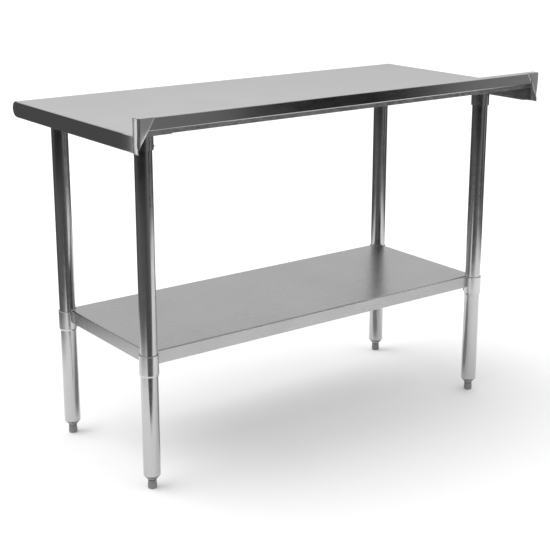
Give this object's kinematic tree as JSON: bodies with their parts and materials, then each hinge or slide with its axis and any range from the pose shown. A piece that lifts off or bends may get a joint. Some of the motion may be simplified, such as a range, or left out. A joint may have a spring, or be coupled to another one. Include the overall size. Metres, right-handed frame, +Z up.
{
  "type": "work table",
  "caption": "Free-standing stainless kitchen work table with a rolled front edge, a low upstand at the rear, round legs on screw feet and a height-adjustable undershelf.",
  "frame": {"origin": "on the floor, under the middle of the table's overall box", "axes": "+X along the length, to the right of someone standing at the rolled front edge; +Y from the front edge towards the upstand; +Z up"},
  "size_m": [1.219, 0.61, 0.914],
  "materials": {
    "worktop_steel": "brushed along the length, light wear",
    "shelf_steel": "brushed along the length, satin",
    "leg_tube": "polished tube",
    "socket_steel": "satin polished",
    "galvanised": "galvanised sheet with a fine spangle",
    "zinc_hardware": "bright zinc plate",
    "foot_grey": "moulded dark grey"
  },
  "bodies": {
    "table_frame": {"worktop": "worktop_steel", "nose_cap_left": "worktop_steel", "nose_cap_right": "worktop_steel", "end_plate_left": "worktop_steel", "end_plate_right": "worktop_steel", "rear_stiffener": "galvanised", "cross_channel_left": "galvanised", "cross_channel_right": "galvanised", "centre_channel": "galvanised", "stiffener_rivets": "zinc_hardware", "weld_studs": "zinc_hardware", "stud_nuts": "zinc_hardware", "stud_washers": "zinc_hardware", "socket_bolts": "zinc_hardware", "socket_nuts": "zinc_hardware", "socket_set_screws": "zinc_hardware", "leg_socket_front_left": "socket_steel", "leg_socket_front_right": "socket_steel", "leg_socket_rear_left": "socket_steel", "leg_socket_rear_right": "socket_steel", "leg_front_left": "leg_tube", "leg_front_right": "leg_tube", "leg_rear_left": "leg_tube", "leg_rear_right": "leg_tube", "leg_insert_front_left": "socket_steel", "leg_insert_front_right": "socket_steel", "leg_insert_rear_left": "socket_steel", "leg_insert_rear_right": "socket_steel"},
    "shelf": {"undershelf": "shelf_steel", "shelf_channel": "galvanised", "shelf_collar_front_left": "socket_steel", "shelf_collar_front_right": "socket_steel", "shelf_collar_rear_left": "socket_steel", "shelf_collar_rear_right": "socket_steel", "collar_set_screws": "zinc_hardware"},
    "foot_front_left": {"foot_pad_front_left": "foot_grey"},
    "screw_front_left": {"foot_screw_front_left": "zinc_hardware"},
    "foot_front_right": {"foot_pad_front_right": "foot_grey"},
    "screw_front_right": {"foot_screw_front_right": "zinc_hardware"},
    "foot_rear_left": {"foot_pad_rear_left": "foot_grey"},
    "screw_rear_left": {"foot_screw_rear_left": "zinc_hardware"},
    "foot_rear_right": {"foot_pad_rear_right": "foot_grey"},
    "screw_rear_right": {"foot_screw_rear_right": "zinc_hardware"}
  },
  "joints": [
    {"name": "shelf_height", "type": "slide", "parent": "table_frame", "child": "shelf", "axis": [0, 0, 1], "range_m": [-0.2, 0.4]},
    {"name": "foot_level_front_left", "type": "slide", "parent": "table_frame", "child": "foot_front_left", "axis": [0, 0, 1], "range_m": [-0.025, 0]},
    {"name": "foot_screw_turn_front_left", "type": "hinge", "parent": "foot_front_left", "child": "screw_front_left", "pos_m": [-0.525, -0.226, 0.0246], "axis": [0, 0, 1], "range_deg": [-5143, 0]},
    {"name": "foot_level_front_right", "type": "slide", "parent": "table_frame", "child": "foot_front_right", "axis": [0, 0, 1], "range_m": [-0.025, 0]},
    {"name": "foot_screw_turn_front_right", "type": "hinge", "parent": "foot_front_right", "child": "screw_front_right", "pos_m": [0.525, -0.226, 0.0246], "axis": [0, 0, 1], "range_deg": [-5143, 0]},
    {"name": "foot_level_rear_left", "type": "slide", "parent": "table_frame", "child": "foot_rear_left", "axis": [0, 0, 1], "range_m": [-0.025, 0]},
    {"name": "foot_screw_turn_rear_left", "type": "hinge", "parent": "foot_rear_left", "child": "screw_rear_left", "pos_m": [-0.525, 0.1775, 0.0246], "axis": [0, 0, 1], "range_deg": [-5143, 0]},
    {"name": "foot_level_rear_right", "type": "slide", "parent": "table_frame", "child": "foot_rear_right", "axis": [0, 0, 1], "range_m": [-0.025, 0]},
    {"name": "foot_screw_turn_rear_right", "type": "hinge", "parent": "foot_rear_right", "child": "screw_rear_right", "pos_m": [0.525, 0.1775, 0.0246], "axis": [0, 0, 1], "range_deg": [-5143, 0]}
  ],
  "couplings": [
    {"joint": "foot_screw_turn_front_left", "follows": "foot_level_front_left", "rad_per_m": 3590.4},
    {"joint": "foot_screw_turn_front_right", "follows": "foot_level_front_right", "rad_per_m": 3590.4},
    {"joint": "foot_screw_turn_rear_left", "follows": "foot_level_rear_left", "rad_per_m": 3590.4},
    {"joint": "foot_screw_turn_rear_right", "follows": "foot_level_rear_right", "rad_per_m": 3590.4}
  ]
}
